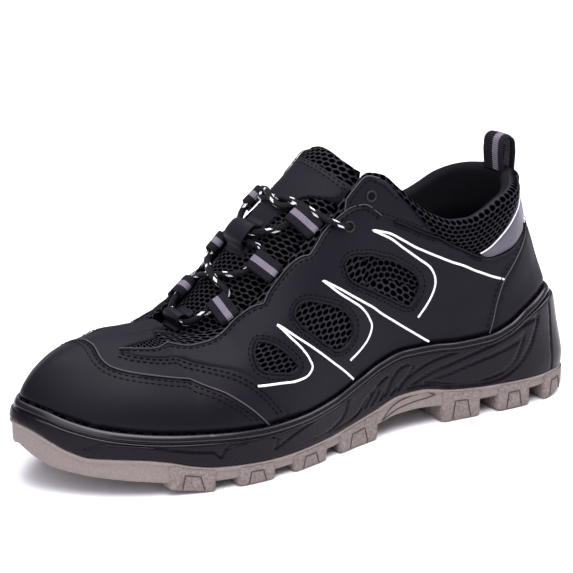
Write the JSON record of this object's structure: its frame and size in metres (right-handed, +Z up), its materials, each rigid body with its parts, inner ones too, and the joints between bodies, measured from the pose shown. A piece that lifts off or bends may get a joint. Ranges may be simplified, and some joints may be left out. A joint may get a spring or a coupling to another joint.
{
  "type": "safety sneaker",
  "caption": "Low safety shoe with a hollow upper, windowed side panels, toe cap, laced throat, padded tongue and collar, heel pull loop and lugged two-part sole.",
  "frame": {"origin": "on the floor plane, under the middle of the heel", "axes": "+X to the toe along the shoe's length, +Y to the wearer's left (the outer side of this left shoe), +Z up"},
  "size_m": [0.2988, 0.1071, 0.1413],
  "materials": {
    "outsole_rubber": "matte",
    "midsole_foam": "satin",
    "insole_cloth": "matte",
    "upper_mesh": "matte",
    "tongue_cloth": "matte",
    "panel_leather": "matte",
    "reflective_cloth": "satin",
    "webbing": "matte",
    "keeper_leather": "matte",
    "lace_cord": "matte"
  },
  "bodies": {
    "root": {"outsole": "outsole_rubber", "midsole": "midsole_foam", "insole": "insole_cloth", "upper": "upper_mesh", "tongue": "tongue_cloth", "toe_cap": "panel_leather", "heel_counter": "panel_leather", "quarter_outer": "panel_leather", "quarter_inner": "panel_leather", "eyestay_tab_outer": "panel_leather", "eyestay_tab_inner": "panel_leather", "vamp_blade": "panel_leather", "reflective_heel": "reflective_cloth", "lace_loop_outer_1": "webbing", "lace_loop_outer_2": "webbing", "lace_loop_outer_3": "webbing", "lace_loop_inner_1": "webbing", "lace_loop_inner_2": "webbing", "lace_loop_inner_3": "webbing", "lace_keeper_lower": "keeper_leather", "lace_keeper_middle": "keeper_leather", "laces": "lace_cord", "pull_loop": "webbing"}
  },
  "joints": []
}
